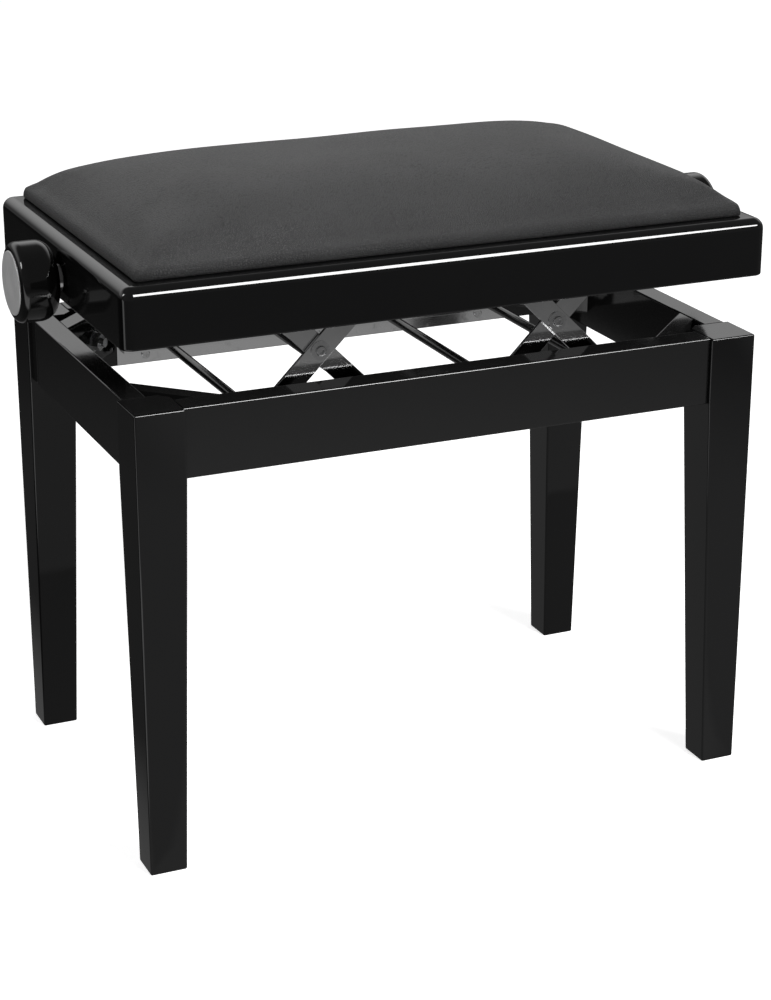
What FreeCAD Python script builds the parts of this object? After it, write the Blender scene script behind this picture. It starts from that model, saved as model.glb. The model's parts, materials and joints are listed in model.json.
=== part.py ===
import FreeCAD, Part
import math
import os

# Height-adjustable piano bench.  Millimetres, +Z up, +X to the right, +Y to the back.
# The origin is on the floor, under the middle of the bench.
# Everything is drawn at one seat height, with the scissor arms at 45 degrees.

V = FreeCAD.Vector
UP = V(0, 0, 1)
ALONG_X = V(1, 0, 0)
ALONG_Y = V(0, 1, 0)
BIG = 1000.0

# ---- driving dimensions -------------------------------------------------------------

# Base: four tapered legs and four aprons.
BASE_HALF_X = 271.0
BASE_HALF_Y = 166.6
BASE_TOP = 389.0
APRON_HEIGHT = 57.0
LEG_TOP_X = 41.0
LEG_TOP_Y = 43.5
LEG_FOOT_X = 31.0
LEG_FOOT_Y = 29.5
LEG_CORNER_CUT = 9.0
LEG_CORNER_CUT_HEIGHT = 52.0
APRON_SETBACK = 4.0
FRONT_APRON_T = 24.0
SIDE_APRON_T = 20.0
WOOD_EDGE_R = 1.5

# Diagonal corner blocks and the hanger bolts that pull the legs into them.
BLOCK_FACE_SUM = 328.1      # x + y of the block's diagonal face towards the middle
BLOCK_T = 17.0
BLOCK_HEIGHT = 44.0
BLOCK_BELOW_TOP = 0.5
BLOCK_EDGE_R = 2.5
BOLT_R = 4.0
BOLT_Z = 366.0
BOLT_IN_LEG = 24.0
BOLT_PAST_BLOCK = 12.0
NUT_ACROSS_FLATS = 13.0
NUT_T = 6.5
WASHER_R = 9.0
WASHER_T = 1.6

# Seat frame: four mitred rails with a rounded top edge, and a board let into them.
SEAT_HALF_X = 277.3
SEAT_HALF_Y = 166.7
SEAT_BOTTOM = 439.0
SEAT_TOP = 487.0
SEAT_RAIL_T = 22.0
SEAT_TOP_R = 9.5
SEAT_CORNER_R = 9.6         # a little over SEAT_TOP_R, so that the corners come out as balls
BOARD_T = 12.0
BOARD_LEDGE = 2.0

# Cushion.
CUSHION_HALF_X = 263.0
CUSHION_HALF_Y = 153.0
CUSHION_EDGE_T = 11.0
CUSHION_CROWN = 43.0
CUSHION_CORNER_R = 5.0

# Scissor lift: two crossed pairs of flat arms on each side of the middle.
PIVOT_OUTER_X = 154.5
PIVOT_INNER_X = 54.5
PIVOT_LOW_Z = 360.0
PIVOT_HIGH_Z = 460.0
ARM_WIDTH = 18.3
ARM_T = 3.0
STEEL_EDGE_R = 0.4
ARM_LOWER_LIMIT_DEG = -23.8
ARM_UPPER_LIMIT_DEG = 22.0
DRIVE_ARM_Y = 126.0         # inner face of the arms whose upper ends hold the nut
FOLLOW_ARM_Y = 122.4        # inner face of the other arms
ROD_R = 4.0
ROD_HEAD_R = 6.5
ROD_HEAD_T = 1.6
RUNNING_GAP = 0.05
SIDE_GAP = 0.2
RIVET_FLANGE_R = 8.0
RIVET_FLANGE_T = 1.2
RIVET_BUTTON_T = 2.8
RIVET_BUTTON_ROUND = 0.8
RIVET_HEX_FLATS = 8.6
SOCKET_FLATS = 4.0

# Pressed steel tracks that hold the ends of the arms.
TRACK_T = 2.5
TRACK_FACE_Y = 129.3
TRACK_HALF_X = 184.0
TRACK_LOW_Z = 345.0
TRACK_HIGH_Z = 375.0
TRACK_BELOW_PIVOT = 15.0
TRACK_SEAT_GAP = 0.5
SLOT_SPARE = 0.3
STRIP_HALF_X = 188.0        # ends just short of the corner blocks
STRIP_T = 1.25
STRIP_LOW_Z = 333.0
STRIP_SCREW_X = 162.0
STRIP_SCREW_Z = 340.5
SEAT_SCREW_X = 175.0
SCREW_R = 2.0
SCREW_HEAD_R = 3.9
SCREW_HEAD_T = 1.6
SCREW_GRIP = 9.0
SCREW_CROSS_LENGTH = 4.0
SCREW_CROSS_WIDTH = 0.8

# Threaded spindle, nut blocks and knobs.
SPINDLE_Z = 455.5
SPINDLE_R = 6.0
NUT_BLOCK = (20.0, 32.0, 28.0)
NUT_BLOCK_ROUND = 1.5
NUT_ROD_DEPTH = 4.0
BUSH_R = 9.0
BUSH_FLANGE_R = 11.5
BUSH_FLANGE_T = 1.5
COLLAR_R = 11.0
COLLAR_T = 7.0
KNOB_R = 32.5
KNOB_INNER_X = 281.0
KNOB_OUTER_X = 315.0
KNOB_HUB_R = 11.0
KNOB_INNER_ROUND = 14.0
KNOB_OUTER_ROUND = 6.5
KNOB_SOCKET_DEPTH = 18.0
CAP_R = 25.8
CAP_T = 2.4
CAP_PROUD = 0.8
CAP_ROUND = 0.7

# ---- worked-out sizes ---------------------------------------------------------------

APRON_LOW_Z = BASE_TOP - APRON_HEIGHT
FRONT_APRON_IN_Y = BASE_HALF_Y - APRON_SETBACK - FRONT_APRON_T
SIDE_APRON_IN_X = BASE_HALF_X - APRON_SETBACK - SIDE_APRON_T
SEAT_IN_X = SEAT_HALF_X - SEAT_RAIL_T
SEAT_IN_Y = SEAT_HALF_Y - SEAT_RAIL_T
BOARD_LOW_Z = SEAT_TOP - BOARD_T
PIVOT_MID_X = (PIVOT_OUTER_X + PIVOT_INNER_X) / 2
PIVOT_MID_Z = (PIVOT_LOW_Z + PIVOT_HIGH_Z) / 2
ARM_LENGTH = math.hypot(PIVOT_OUTER_X - PIVOT_INNER_X, PIVOT_HIGH_Z - PIVOT_LOW_Z)
ARM_ANGLE = math.atan2(PIVOT_HIGH_Z - PIVOT_LOW_Z, PIVOT_OUTER_X - PIVOT_INNER_X)
HOLE_R = ROD_R + RUNNING_GAP
TRACK_BACK_Y = TRACK_FACE_Y + TRACK_T
HEAD_IN_Y = TRACK_BACK_Y + SIDE_GAP
ROD_END_Y = HEAD_IN_Y + ROD_HEAD_T
LEG_BOLT_SUM = (BASE_HALF_X - LEG_TOP_X) + (BASE_HALF_Y - LEG_TOP_Y) + LEG_CORNER_CUT
LEG_BOLT_DIFF = (BASE_HALF_X - LEG_TOP_X) - (BASE_HALF_Y - LEG_TOP_Y)

# How far the sliding ends of the arms travel in the slots.
SLIDE_AT_LOW = ARM_LENGTH * math.cos(ARM_ANGLE + math.radians(ARM_LOWER_LIMIT_DEG))
SLIDE_AT_HIGH = ARM_LENGTH * math.cos(ARM_ANGLE + math.radians(ARM_UPPER_LIMIT_DEG))
SLOT_NEAR_X = PIVOT_OUTER_X - SLIDE_AT_LOW - SLOT_SPARE
SLOT_FAR_X = PIVOT_OUTER_X - SLIDE_AT_HIGH + SLOT_SPARE


# ---- helpers ------------------------------------------------------------------------

def box(x0, x1, y0, y1, z0, z1):
    """A box from any two opposite corners."""
    low = V(min(x0, x1), min(y0, y1), min(z0, z1))
    return Part.makeBox(abs(x1 - x0), abs(y1 - y0), abs(z1 - z0), low)


def rod(radius, start, end):
    """A round rod between two points."""
    return Part.makeCylinder(radius, (end - start).Length, start, end - start)


def prism(points, z0, z1):
    """A straight prism over a plan outline."""
    corners = [V(x, y, z0) for x, y in points]
    face = Part.Face(Part.makePolygon(corners + corners[:1]))
    return face.extrude(V(0, 0, z1 - z0))


def hexagon(across_flats, centre, direction, length):
    """A hexagonal bar that starts at centre."""
    radius = across_flats / math.sqrt(3)
    corners = []
    for k in range(6):
        angle = math.radians(60 * k)
        corners.append(V(radius * math.cos(angle), radius * math.sin(angle), 0))
    bar = Part.Face(Part.makePolygon(corners + corners[:1])).extrude(V(0, 0, length))
    bar.Placement = FreeCAD.Placement(centre, FreeCAD.Rotation(UP, direction))
    return bar


def ring(outer, inner, start, end):
    """A washer or sleeve between two points."""
    return rod(outer, start, end).cut(rod(inner, start, end))


def rounded(shape, radius, wanted):
    """Round every edge for which wanted(edge) is true."""
    edges = [edge for edge in shape.Edges if wanted(edge)]
    return shape.makeFillet(radius, edges)


def mirror_x(shape):
    return shape.mirror(V(0, 0, 0), ALONG_X)


def mirror_y(shape):
    return shape.mirror(V(0, 0, 0), ALONG_Y)


def group(shapes):
    return Part.makeCompound(shapes)


def place(shape, side, face):
    """Copy a part drawn at +X, +Y to a side (-1 left, +1 right) and face (-1 front)."""
    if side < 0:
        shape = mirror_x(shape)
    if face < 0:
        shape = mirror_y(shape)
    return shape


nodes = {}

# ---- base ---------------------------------------------------------------------------


def leg():
    """The rear right leg: square outside, tapered on its two inner faces."""
    top = [V(BASE_HALF_X - LEG_TOP_X, BASE_HALF_Y - LEG_TOP_Y, APRON_LOW_Z),
           V(BASE_HALF_X, BASE_HALF_Y - LEG_TOP_Y, APRON_LOW_Z),
           V(BASE_HALF_X, BASE_HALF_Y, APRON_LOW_Z),
           V(BASE_HALF_X - LEG_TOP_X, BASE_HALF_Y, APRON_LOW_Z)]
    foot = [V(BASE_HALF_X - LEG_FOOT_X, BASE_HALF_Y - LEG_FOOT_Y, 0),
            V(BASE_HALF_X, BASE_HALF_Y - LEG_FOOT_Y, 0),
            V(BASE_HALF_X, BASE_HALF_Y, 0),
            V(BASE_HALF_X - LEG_FOOT_X, BASE_HALF_Y, 0)]
    outlines = [Part.makePolygon(foot + foot[:1]), Part.makePolygon(top + top[:1])]
    taper = Part.makeLoft(outlines, True, True)
    head = box(BASE_HALF_X - LEG_TOP_X, BASE_HALF_X, BASE_HALF_Y - LEG_TOP_Y, BASE_HALF_Y,
               APRON_LOW_Z, BASE_TOP)
    whole = taper.fuse(head).removeSplitter()
    whole = rounded(whole, WOOD_EDGE_R, is_leg_edge)
    inner_x = BASE_HALF_X - LEG_TOP_X
    inner_y = BASE_HALF_Y - LEG_TOP_Y
    corner = [(inner_x - 1, inner_y - 1),
              (inner_x + LEG_CORNER_CUT + 1, inner_y - 1),
              (inner_x - 1, inner_y + LEG_CORNER_CUT + 1)]
    whole = whole.cut(prism(corner, BASE_TOP - LEG_CORNER_CUT_HEIGHT, BASE_TOP + 1))
    return whole.cut(rod(BOLT_R + RUNNING_GAP, bolt_point(1), bolt_point(-BOLT_IN_LEG)))


def is_leg_edge(edge):
    """Every edge but the seam around the leg where its taper begins."""
    points = [vertex.Z for vertex in edge.Vertexes]
    at_seam = all(abs(z - APRON_LOW_Z) < 0.01 for z in points)
    return not at_seam


def bolt_point(distance):
    """A point on the rear right hanger bolt, measured from the leg towards the middle."""
    diagonal = math.sqrt(2)
    total = LEG_BOLT_SUM - distance * diagonal
    return V((total + LEG_BOLT_DIFF) / 2, (total - LEG_BOLT_DIFF) / 2, BOLT_Z)


def bolt_distance(total):
    """How far along the hanger bolt x + y comes down to total."""
    return (LEG_BOLT_SUM - total) / math.sqrt(2)


def corner_block():
    """The rear right diagonal block between two aprons."""
    face_sum = BLOCK_FACE_SUM
    back_sum = BLOCK_FACE_SUM + BLOCK_T * math.sqrt(2)
    outline = [(face_sum - FRONT_APRON_IN_Y, FRONT_APRON_IN_Y),
               (SIDE_APRON_IN_X, face_sum - SIDE_APRON_IN_X),
               (SIDE_APRON_IN_X, back_sum - SIDE_APRON_IN_X),
               (back_sum - FRONT_APRON_IN_Y, FRONT_APRON_IN_Y)]
    high = BASE_TOP - BLOCK_BELOW_TOP
    block = prism(outline, high - BLOCK_HEIGHT, high)
    block = rounded(block, BLOCK_EDGE_R, is_block_edge)
    near = bolt_point(bolt_distance(face_sum) + 2)
    far = bolt_point(bolt_distance(back_sum) - 2)
    return block.cut(rod(BOLT_R + RUNNING_GAP, near, far))


def is_block_edge(edge):
    """The long upper and lower edges of the face towards the middle."""
    points = [vertex.Point for vertex in edge.Vertexes]
    level = abs(points[0].z - points[1].z) < 0.01
    on_face = all(abs(p.x + p.y - BLOCK_FACE_SUM) < 0.01 for p in points)
    return level and on_face


def hanger_bolt():
    end = bolt_distance(BLOCK_FACE_SUM) + BOLT_PAST_BLOCK
    return rod(BOLT_R, bolt_point(-BOLT_IN_LEG), bolt_point(end))


def hanger_nut():
    """A washer and a hexagon nut on the block's face."""
    face = bolt_distance(BLOCK_FACE_SUM)
    washer = ring(WASHER_R, BOLT_R, bolt_point(face), bolt_point(face + WASHER_T))
    start = bolt_point(face + WASHER_T)
    inward = bolt_point(1) - bolt_point(0)
    nut = hexagon(NUT_ACROSS_FLATS, start, inward, NUT_T)
    nut = nut.cut(rod(BOLT_R, start, bolt_point(face + WASHER_T + NUT_T)))
    return [washer, nut]


def apron_edge(edge):
    """The four long edges of an apron."""
    return edge.Length > 4 * APRON_HEIGHT


def long_apron():
    """The rear apron, with pilot holes for the track screws."""
    half = BASE_HALF_X - LEG_TOP_X
    outer = BASE_HALF_Y - APRON_SETBACK
    apron = box(-half, half, FRONT_APRON_IN_Y, outer, APRON_LOW_Z, BASE_TOP)
    apron = rounded(apron, WOOD_EDGE_R, apron_edge)
    for x in (-STRIP_SCREW_X, 0, STRIP_SCREW_X):
        start = V(x, FRONT_APRON_IN_Y - 1, STRIP_SCREW_Z)
        end = V(x, FRONT_APRON_IN_Y + SCREW_GRIP, STRIP_SCREW_Z)
        apron = apron.cut(rod(SCREW_R + RUNNING_GAP, start, end))
    return apron


def side_apron():
    """The right apron."""
    half = BASE_HALF_Y - LEG_TOP_Y
    outer = BASE_HALF_X - APRON_SETBACK
    apron = box(SIDE_APRON_IN_X, outer, -half, half, APRON_LOW_Z, BASE_TOP)
    return rounded(apron, WOOD_EDGE_R, apron_edge)


CORNERS = {"front_left": (-1, -1), "front_right": (1, -1),
           "rear_left": (-1, 1), "rear_right": (1, 1)}

for name, (side, face) in CORNERS.items():
    nodes["leg_" + name] = place(leg(), side, face)
    nodes["corner_block_" + name] = place(corner_block(), side, face)
nodes["apron_front"] = mirror_y(long_apron())
nodes["apron_rear"] = long_apron()
nodes["apron_left"] = mirror_x(side_apron())
nodes["apron_right"] = side_apron()
nodes["hanger_bolts"] = group([place(hanger_bolt(), *c) for c in CORNERS.values()])
nodes["hanger_nuts"] = group([place(piece, *c) for c in CORNERS.values() for piece in hanger_nut()])

# ---- tracks -------------------------------------------------------------------------


def slot(z):
    """The slot that the sliding rod runs in, as a solid to cut away."""
    near = V(SLOT_NEAR_X, TRACK_FACE_Y - 1, z)
    far = V(SLOT_FAR_X, TRACK_FACE_Y - 1, z)
    through = V(0, TRACK_T + 2, 0)
    middle = box(near.x, far.x, near.y, near.y + through.y, z - HOLE_R, z + HOLE_R)
    return middle.fuse([rod(HOLE_R, near, near + through), rod(HOLE_R, far, far + through)])


def drill_track(track, z):
    """Cut the two fixed pivot holes and the two slots."""
    for side in (-1, 1):
        start = V(side * PIVOT_OUTER_X, TRACK_FACE_Y - 1, z)
        track = track.cut(rod(HOLE_R, start, start + V(0, TRACK_T + 2, 0)))
        track = track.cut(place(slot(z), side, 1))
    return track


def is_track_edge(edge):
    """The long edges of a track."""
    return edge.Length > TRACK_HALF_X


def base_track():
    """The rear lower track: a channel on a back plate that is screwed to the apron below it."""
    outer = FRONT_APRON_IN_Y
    half = TRACK_HALF_X
    web = box(-half, half, TRACK_FACE_Y, TRACK_BACK_Y, TRACK_LOW_Z, TRACK_HIGH_Z)
    floor = box(-half, half, TRACK_FACE_Y, outer, TRACK_LOW_Z, TRACK_LOW_Z + TRACK_T)
    plate = box(-STRIP_HALF_X, STRIP_HALF_X, outer - STRIP_T, outer, STRIP_LOW_Z, TRACK_HIGH_Z)
    track = web.fuse([floor, plate]).removeSplitter()
    track = rounded(track, STEEL_EDGE_R, is_track_edge)
    for x in (-STRIP_SCREW_X, 0, STRIP_SCREW_X):
        start = V(x, outer - STRIP_T - 1, STRIP_SCREW_Z)
        track = track.cut(rod(SCREW_R + RUNNING_GAP, start, start + V(0, STRIP_T + 2, 0)))
    return drill_track(track, PIVOT_LOW_Z)


def seat_track():
    """The rear upper track: an angle screwed to the underside of the board."""
    low = PIVOT_HIGH_Z - TRACK_BELOW_PIVOT
    outer = SEAT_IN_Y - TRACK_SEAT_GAP
    web = box(-TRACK_HALF_X, TRACK_HALF_X, TRACK_FACE_Y, TRACK_BACK_Y, low, BOARD_LOW_Z)
    flange = box(-TRACK_HALF_X, TRACK_HALF_X, TRACK_FACE_Y, outer, BOARD_LOW_Z - TRACK_T, BOARD_LOW_Z)
    track = web.fuse(flange).removeSplitter()
    track = rounded(track, STEEL_EDGE_R, is_track_edge)
    for x in (-SEAT_SCREW_X, 0, SEAT_SCREW_X):
        start = V(x, seat_screw_y(), BOARD_LOW_Z - TRACK_T - 1)
        track = track.cut(rod(SCREW_R + RUNNING_GAP, start, start + V(0, 0, TRACK_T + 2)))
    return drill_track(track, PIVOT_HIGH_Z)


def seat_screw_y():
    return (TRACK_BACK_Y + SEAT_IN_Y) / 2


def screw(head, direction, grip):
    """A pan-head screw whose head seat is at the point head."""
    shank = rod(SCREW_R, head, head + direction * grip)
    cap = rod(SCREW_HEAD_R, head - direction * SCREW_HEAD_T, head)
    cap = rounded(cap, SCREW_HEAD_T / 2, lambda edge: edge.CenterOfMass.isEqual(
        head - direction * SCREW_HEAD_T, 0.01))
    body = shank.fuse(cap).removeSplitter()
    for turn in (ALONG_X, direction.cross(ALONG_X)):
        across = direction.cross(turn)
        middle = head - direction * SCREW_HEAD_T
        slot_cut = Part.makeBox(SCREW_CROSS_LENGTH, SCREW_CROSS_WIDTH, SCREW_CROSS_WIDTH)
        slot_cut.translate(V(SCREW_CROSS_LENGTH, SCREW_CROSS_WIDTH, SCREW_CROSS_WIDTH) * -0.5)
        slot_cut.Placement = FreeCAD.Placement(
            middle, FreeCAD.Rotation(turn, across, direction, "XYZ")) * slot_cut.Placement
        body = body.cut(slot_cut)
    return body


def track_screws():
    """Screws of the lower track, then of the upper track, for the rear side."""
    lower = []
    upper = []
    for x in (-STRIP_SCREW_X, 0, STRIP_SCREW_X):
        lower.append(screw(V(x, FRONT_APRON_IN_Y - STRIP_T, STRIP_SCREW_Z), ALONG_Y, SCREW_GRIP))
    for x in (-SEAT_SCREW_X, 0, SEAT_SCREW_X):
        upper.append(screw(V(x, seat_screw_y(), BOARD_LOW_Z - TRACK_T), UP, SCREW_GRIP))
    return lower, upper


nodes["base_track_front"] = mirror_y(base_track())
nodes["base_track_rear"] = base_track()
nodes["seat_track_front"] = mirror_y(seat_track())
nodes["seat_track_rear"] = seat_track()
lower_screws, upper_screws = track_screws()
nodes["base_track_screws"] = group(lower_screws + [mirror_y(s) for s in lower_screws])
nodes["seat_track_screws"] = group(upper_screws + [mirror_y(s) for s in upper_screws])

# ---- scissor arms -------------------------------------------------------------------


def arm(low, high, y0):
    """A flat arm with round ends and three holes, between two pivots on the rear side."""
    thick = V(0, ARM_T, 0)
    a = V(low[0], y0, low[1])
    b = V(high[0], y0, high[1])
    along = (b - a).normalize()
    across = V(along.z, 0, -along.x) * (ARM_WIDTH / 2)
    corners = [a + across, b + across, b - across, a - across]
    plate = Part.Face(Part.makePolygon(corners + corners[:1])).extrude(thick)
    plate = plate.fuse([rod(ARM_WIDTH / 2, a, a + thick), rod(ARM_WIDTH / 2, b, b + thick)])
    plate = plate.removeSplitter()
    plate = plate.makeFillet(STEEL_EDGE_R, plate.Edges)
    for centre in (a, b, (a + b) / 2):
        plate = plate.cut(rod(HOLE_R, centre - thick, centre + thick * 2))
    return plate


def headed_rod(x, z, y_from, y_to):
    """A rod along Y whose outer end is riveted over behind the track."""
    shaft = rod(ROD_R, V(x, y_from, z), V(x, y_to, z))
    head = rod(ROD_HEAD_R, V(x, HEAD_IN_Y, z), V(x, ROD_END_Y, z))
    return shaft.fuse(head).removeSplitter()


def through_rod(x, z):
    """A rod that joins the front and rear tracks, riveted over at both ends."""
    half = headed_rod(x, z, 0, ROD_END_Y)
    return half.fuse(mirror_y(half)).removeSplitter()


def head_pin():
    """The pin of the following arms in the upper track, with a head on the inner side."""
    inner = FOLLOW_ARM_Y - SIDE_GAP
    pin = headed_rod(PIVOT_OUTER_X, PIVOT_HIGH_Z, inner, ROD_END_Y)
    head = rod(ROD_HEAD_R, V(PIVOT_OUTER_X, inner - ROD_HEAD_T, PIVOT_HIGH_Z),
               V(PIVOT_OUTER_X, inner, PIVOT_HIGH_Z))
    return pin.fuse(head).removeSplitter()


def centre_rivet():
    """The rivet where two arms cross: a flanged head with a hexagon socket."""
    inner = FOLLOW_ARM_Y - SIDE_GAP
    outer = DRIVE_ARM_Y + ARM_T
    x, z = PIVOT_MID_X, PIVOT_MID_Z
    shank = rod(ROD_R, V(x, inner, z), V(x, outer, z))
    tail = rod(ROD_HEAD_R, V(x, inner - ROD_HEAD_T, z), V(x, inner, z))
    end = outer + RIVET_BUTTON_T
    flange = rod(RIVET_FLANGE_R, V(x, outer, z), V(x, outer + RIVET_FLANGE_T, z))
    button = rod(RIVET_HEX_FLATS / 2, V(x, outer, z), V(x, end, z))
    button = rounded(button, RIVET_BUTTON_ROUND, lambda edge: edge.CenterOfMass.y > end - 0.01)
    rivet = shank.fuse([tail, flange, button]).removeSplitter()
    return rivet.cut(hexagon(SOCKET_FLATS, V(x, outer + RIVET_FLANGE_T, z), ALONG_Y, RIVET_BUTTON_T))


def centre_washer():
    start = V(PIVOT_MID_X, FOLLOW_ARM_Y + ARM_T + RUNNING_GAP, PIVOT_MID_Z)
    end = V(PIVOT_MID_X, DRIVE_ARM_Y - RUNNING_GAP, PIVOT_MID_Z)
    return ring(RIVET_FLANGE_R, HOLE_R, start, end)


def follow_spacers():
    """Sleeves that hold the following arms off the track."""
    sleeves = []
    for x, z in ((PIVOT_OUTER_X, PIVOT_HIGH_Z), (PIVOT_INNER_X, PIVOT_LOW_Z)):
        start = V(x, FOLLOW_ARM_Y + ARM_T, z)
        end = V(x, TRACK_FACE_Y - SIDE_GAP, z)
        sleeves.append(ring(ROD_HEAD_R, HOLE_R, start, end))
    return sleeves


def nut_block():
    """The block on the spindle, bored for the spindle and for its two rods."""
    long, wide, high = NUT_BLOCK
    centre_z = (SPINDLE_Z + PIVOT_HIGH_Z) / 2
    block = box(PIVOT_INNER_X - long / 2, PIVOT_INNER_X + long / 2, -wide / 2, wide / 2,
                centre_z - high / 2, centre_z + high / 2)
    block = block.makeFillet(NUT_BLOCK_ROUND, block.Edges)
    block = block.cut(rod(SPINDLE_R + RUNNING_GAP, V(0, 0, SPINDLE_Z), V(BIG, 0, SPINDLE_Z)))
    for face in (-1, 1):
        start = V(PIVOT_INNER_X, face * wide, PIVOT_HIGH_Z)
        end = V(PIVOT_INNER_X, face * (wide / 2 - NUT_ROD_DEPTH), PIVOT_HIGH_Z)
        block = block.cut(rod(HOLE_R, start, end))
    return block


def nut_rods():
    start = NUT_BLOCK[1] / 2 - NUT_ROD_DEPTH
    half = headed_rod(PIVOT_INNER_X, PIVOT_HIGH_Z, start, ROD_END_Y)
    return group([half, mirror_y(half)])


LOW_OUTER = (PIVOT_OUTER_X, PIVOT_LOW_Z)
LOW_INNER = (PIVOT_INNER_X, PIVOT_LOW_Z)
HIGH_OUTER = (PIVOT_OUTER_X, PIVOT_HIGH_Z)
HIGH_INNER = (PIVOT_INNER_X, PIVOT_HIGH_Z)


def both_faces(shape, side):
    """One part on the rear side and its twin on the front side, as one group."""
    return group([place(shape, side, 1), place(shape, side, -1)])


for label, side in (("left", -1), ("right", 1)):
    drive = arm(LOW_OUTER, HIGH_INNER, DRIVE_ARM_Y)
    follow = arm(LOW_INNER, HIGH_OUTER, FOLLOW_ARM_Y)
    nodes[label + "_drive_arm_front"] = place(drive, side, -1)
    nodes[label + "_drive_arm_rear"] = place(drive, side, 1)
    nodes[label + "_follow_arm_front"] = place(follow, side, -1)
    nodes[label + "_follow_arm_rear"] = place(follow, side, 1)
    nodes[label + "_fixed_foot_rod"] = place(through_rod(*LOW_OUTER), side, 1)
    nodes[label + "_sliding_foot_rod"] = place(through_rod(*LOW_INNER), side, 1)
    nodes[label + "_head_pins"] = both_faces(head_pin(), side)
    nodes[label + "_centre_rivets"] = both_faces(centre_rivet(), side)
    nodes[label + "_centre_washers"] = both_faces(centre_washer(), side)
    nodes[label + "_spacers"] = group([place(s, side, f) for s in follow_spacers() for f in (-1, 1)])
    nodes[label + "_nut_block"] = place(nut_block(), side, 1)
    nodes[label + "_nut_rods"] = place(nut_rods(), side, 1)

# ---- seat ---------------------------------------------------------------------------


def seat_frame():
    """The four rails in one piece: rounded corners and top edge, and a ledge for the board."""
    frame = box(-SEAT_HALF_X, SEAT_HALF_X, -SEAT_HALF_Y, SEAT_HALF_Y, SEAT_BOTTOM, SEAT_TOP)
    frame = rounded(frame, SEAT_CORNER_R, is_upright)
    frame = rounded(frame, SEAT_TOP_R, lambda edge: is_at_height(edge, SEAT_TOP))
    frame = rounded(frame, WOOD_EDGE_R, lambda edge: is_at_height(edge, SEAT_BOTTOM))
    opening = box(-SEAT_IN_X, SEAT_IN_X, -SEAT_IN_Y, SEAT_IN_Y, SEAT_BOTTOM, SEAT_TOP)
    ledge_x = SEAT_IN_X + BOARD_LEDGE
    ledge_y = SEAT_IN_Y + BOARD_LEDGE
    ledge = box(-ledge_x, ledge_x, -ledge_y, ledge_y, BOARD_LOW_Z, SEAT_TOP)
    return frame.cut(opening).cut(ledge)


def is_upright(edge):
    return abs(edge.tangentAt(edge.FirstParameter).z) > 0.9


def is_at_height(edge, z):
    """Whether an edge lies level at one height."""
    return all(abs(vertex.Z - z) < 0.01 for vertex in edge.Vertexes)


def long_seat_rail():
    """The rear rail, mitred at both ends."""
    wedge = [(-SEAT_HALF_X, SEAT_HALF_Y), (SEAT_HALF_X, SEAT_HALF_Y),
             (SEAT_IN_X, SEAT_IN_Y), (-SEAT_IN_X, SEAT_IN_Y)]
    return seat_frame().common(prism(wedge, SEAT_BOTTOM, SEAT_TOP))


def side_seat_rail():
    """The right rail, mitred at both ends and bored for the spindle's bush."""
    wedge = [(SEAT_HALF_X, -SEAT_HALF_Y), (SEAT_HALF_X, SEAT_HALF_Y),
             (SEAT_IN_X, SEAT_IN_Y), (SEAT_IN_X, -SEAT_IN_Y)]
    rail = seat_frame().common(prism(wedge, SEAT_BOTTOM, SEAT_TOP))
    return rail.cut(rod(BUSH_R, V(0, 0, SPINDLE_Z), V(BIG, 0, SPINDLE_Z)))


def seat_board():
    """The board that the cushion sits on, with pilot holes for the track screws."""
    half_x = SEAT_IN_X + BOARD_LEDGE
    half_y = SEAT_IN_Y + BOARD_LEDGE
    board = box(-half_x, half_x, -half_y, half_y, BOARD_LOW_Z, SEAT_TOP)
    for x in (-SEAT_SCREW_X, 0, SEAT_SCREW_X):
        for y in (-seat_screw_y(), seat_screw_y()):
            start = V(x, y, BOARD_LOW_Z - 1)
            end = V(x, y, BOARD_LOW_Z - TRACK_T + SCREW_GRIP)
            board = board.cut(rod(SCREW_R + RUNNING_GAP, start, end))
    return board


def crown(half, along):
    """A bar over the whole seat: a low edge on each side and an arch, flat in the middle."""
    low = SEAT_TOP
    edge = low + CUSHION_EDGE_T
    top = edge + CUSHION_CROWN
    flat = half - CUSHION_HALF_Y
    radius = (CUSHION_HALF_Y ** 2 + CUSHION_CROWN ** 2) / (2 * CUSHION_CROWN)
    halfway = CUSHION_HALF_Y / 2
    halfway_z = top - radius + math.sqrt(radius ** 2 - halfway ** 2)

    def at(u, z):
        return V(-BIG / 2, u, z) if along else V(u, -BIG / 2, z)

    def arch(sign):
        """The arch from one edge up to the flat middle."""
        points = (at(sign * half, edge), at(sign * (flat + halfway), halfway_z), at(sign * flat, top))
        return Part.Arc(*points).toShape()

    edges = [Part.makeLine(at(-half, low), at(half, low)),
             Part.makeLine(at(half, low), at(half, edge)),
             arch(1),
             arch(-1),
             Part.makeLine(at(-half, edge), at(-half, low))]
    if flat > 0:
        edges.append(Part.makeLine(at(flat, top), at(-flat, top)))
    face = Part.Face(Part.Wire(Part.__sortEdges__(edges)))
    return face.extrude(V(BIG, 0, 0) if along else V(0, BIG, 0))


def cushion():
    """The cushion: two arched bars crossed, inside a plan with rounded corners."""
    plan = box(-CUSHION_HALF_X, CUSHION_HALF_X, -CUSHION_HALF_Y, CUSHION_HALF_Y,
               SEAT_TOP, SEAT_TOP + CUSHION_EDGE_T + CUSHION_CROWN + 1)
    plan = rounded(plan, CUSHION_CORNER_R, is_upright)
    return plan.common(crown(CUSHION_HALF_X, False)).common(crown(CUSHION_HALF_Y, True))


nodes["seat_rail_front"] = mirror_y(long_seat_rail())
nodes["seat_rail_rear"] = long_seat_rail()
nodes["seat_rail_left"] = mirror_x(side_seat_rail())
nodes["seat_rail_right"] = side_seat_rail()
nodes["seat_board"] = seat_board()
nodes["cushion"] = cushion()

# ---- spindle ------------------------------------------------------------------------


def on_axis(x):
    return V(x, 0, SPINDLE_Z)


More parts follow.
